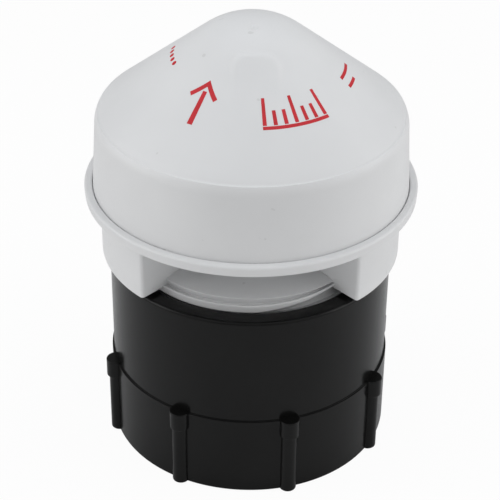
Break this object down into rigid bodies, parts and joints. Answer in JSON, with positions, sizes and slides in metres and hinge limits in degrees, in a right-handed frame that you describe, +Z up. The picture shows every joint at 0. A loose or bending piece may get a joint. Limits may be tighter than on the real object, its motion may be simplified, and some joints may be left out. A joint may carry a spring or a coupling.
{
  "type": "air admittance valve",
  "caption": "Air admittance valve for a drain pipe: a white conical capped valve with side air windows and a rising float, screwed into a black ribbed pipe adapter.",
  "frame": {"origin": "centre of the adapter's lower face, on the pipe axis", "axes": "+Z up along the pipe axis towards the cap's tip, -Y towards one air window, +X towards one leg"},
  "size_m": [0.0794, 0.0794, 0.1099],
  "materials": {
    "adapter_plastic": "black, satin moulded",
    "gasket_rubber": "black, matt",
    "body_plastic": "white, satin moulded",
    "screen_plastic": "light grey, moulded",
    "cap_plastic": "white, satin moulded",
    "float_plastic": "light grey, moulded",
    "membrane_rubber": "dark grey, matt",
    "clip_plastic": "light grey, moulded"
  },
  "bodies": {
    "adapter": {"adapter": "adapter_plastic"},
    "gasket": {"stem_gasket": "gasket_rubber"},
    "valve": {"valve_body": "body_plastic", "insect_screen": "screen_plastic", "cap": "cap_plastic"},
    "float": {"float": "float_plastic", "membrane": "membrane_rubber", "membrane_clip": "clip_plastic"}
  },
  "joints": [
    {"name": "valve_turn", "type": "hinge", "parent": "adapter", "child": "gasket", "pos_m": [0, 0, 0.038], "axis": [0, 0, 1], "range_deg": [0, 1800]},
    {"name": "valve_lift", "type": "slide", "parent": "gasket", "child": "valve", "axis": [0, 0, 1], "range_m": [0, 0.0112]},
    {"name": "float_lift", "type": "slide", "parent": "valve", "child": "float", "axis": [0, 0, 1], "range_m": [0, 0.006]}
  ],
  "couplings": [
    {"joint": "valve_lift", "follows": "valve_turn", "m_per_rad": 0.00035157}
  ]
}
